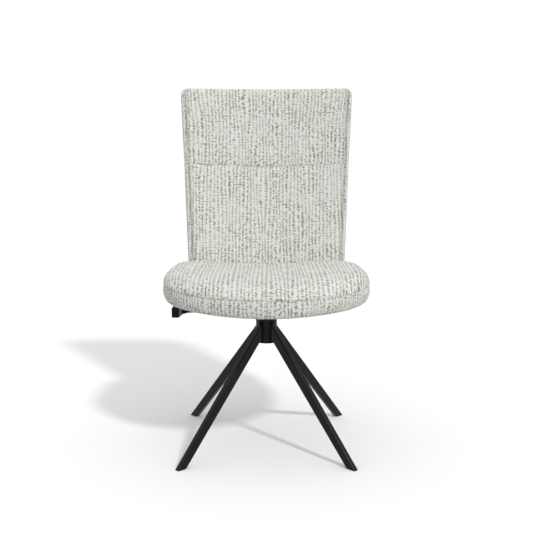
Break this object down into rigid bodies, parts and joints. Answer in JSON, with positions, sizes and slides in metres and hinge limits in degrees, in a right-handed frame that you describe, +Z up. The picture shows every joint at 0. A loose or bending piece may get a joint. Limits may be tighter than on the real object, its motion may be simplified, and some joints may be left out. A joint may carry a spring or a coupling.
{
  "type": "swivel dining chair",
  "caption": "Upholstered dining chair with a rounded seat and a tall curved back that turns and tilts on slanted tube legs, with a clamp lever under the seat.",
  "frame": {"origin": "floor level, under the middle of the chair's bounding box", "axes": "+Z up, -Y the way the sitter faces, +X the sitter's left"},
  "size_m": [0.569, 0.6646, 0.9966],
  "materials": {
    "powder_coat": "satin black powder coat with a fine texture",
    "black_steel": "satin black",
    "zinc_steel": "bright zinc plate",
    "spring_steel": "oiled black",
    "black_plastic": "fine moulded grain",
    "bearing_plastic": "smooth",
    "friction_pad": "rough",
    "rubber": "matt",
    "plywood": "bare birch plywood",
    "dust_cover": "thin black non-woven cloth",
    "seat_fabric": "chunky ribbed off-white chenille with taupe flecks",
    "back_fabric": "chunky ribbed off-white chenille with taupe flecks",
    "panel_fabric": "chunky ribbed off-white chenille with taupe flecks"
  },
  "bodies": {
    "base": {"hub_tube": "powder_coat", "leg_front_left": "powder_coat", "leg_front_right": "powder_coat", "leg_rear_left": "powder_coat", "leg_rear_right": "powder_coat", "glide_front_left": "black_plastic", "glide_front_right": "black_plastic", "glide_rear_left": "black_plastic", "glide_rear_right": "black_plastic", "hub_end_cap": "black_plastic", "lower_bush": "bearing_plastic", "upper_bush": "bearing_plastic", "thrust_washer": "bearing_plastic"},
    "turning_frame": {"spindle": "black_steel", "spindle_washer": "zinc_steel", "spindle_clip": "spring_steel", "lower_frame": "powder_coat", "tilt_axle": "zinc_steel", "axle_clips": "spring_steel", "brake_plate": "zinc_steel", "front_buffers": "rubber", "rear_buffers": "rubber", "tilt_springs": "spring_steel"},
    "seat": {"seat_plate": "powder_coat", "axle_bushes": "bearing_plastic", "lever_bracket": "powder_coat", "lever_guide": "black_plastic", "guide_screws": "zinc_steel", "seat_plate_screws": "zinc_steel", "seat_tee_nuts": "zinc_steel", "seat_board": "plywood", "seat_dust_cover": "dust_cover", "seat_cushion": "seat_fabric", "back_bar": "powder_coat", "back_bar_screws": "zinc_steel", "back_board": "plywood", "back_board_screws": "zinc_steel", "back_tee_nuts": "zinc_steel", "back_cushion": "back_fabric", "back_panel": "panel_fabric"},
    "clamp": {"brake_pad": "friction_pad"},
    "lever": {"lever_rod": "black_steel", "lever_handle": "black_plastic", "handle_pin": "zinc_steel"}
  },
  "joints": [
    {"name": "swivel", "type": "hinge", "parent": "base", "child": "turning_frame", "pos_m": [0, -0.08027, 0.32], "axis": [0, 0, 1], "continuous": true},
    {"name": "seat_tilt", "type": "hinge", "parent": "turning_frame", "child": "seat", "pos_m": [0, -0.09527, 0.384], "axis": [-1, 0, 0], "range_deg": [0, 10], "stiffness_Nm_per_rad": 200, "springref_deg": -9.17, "deforming": ["tilt_springs"]},
    {"name": "clamp_slide", "type": "slide", "parent": "seat", "child": "clamp", "axis": [1, 0, 0], "range_m": [0, 0.0007987]},
    {"name": "lever_turn", "type": "hinge", "parent": "clamp", "child": "lever", "pos_m": [-0.15, -0.06527, 0.372], "axis": [1, 0, 0], "range_deg": [0, 25]}
  ],
  "couplings": [
    {"joint": "clamp_slide", "follows": "lever_turn", "m_per_rad": 0.0018303}
  ]
}
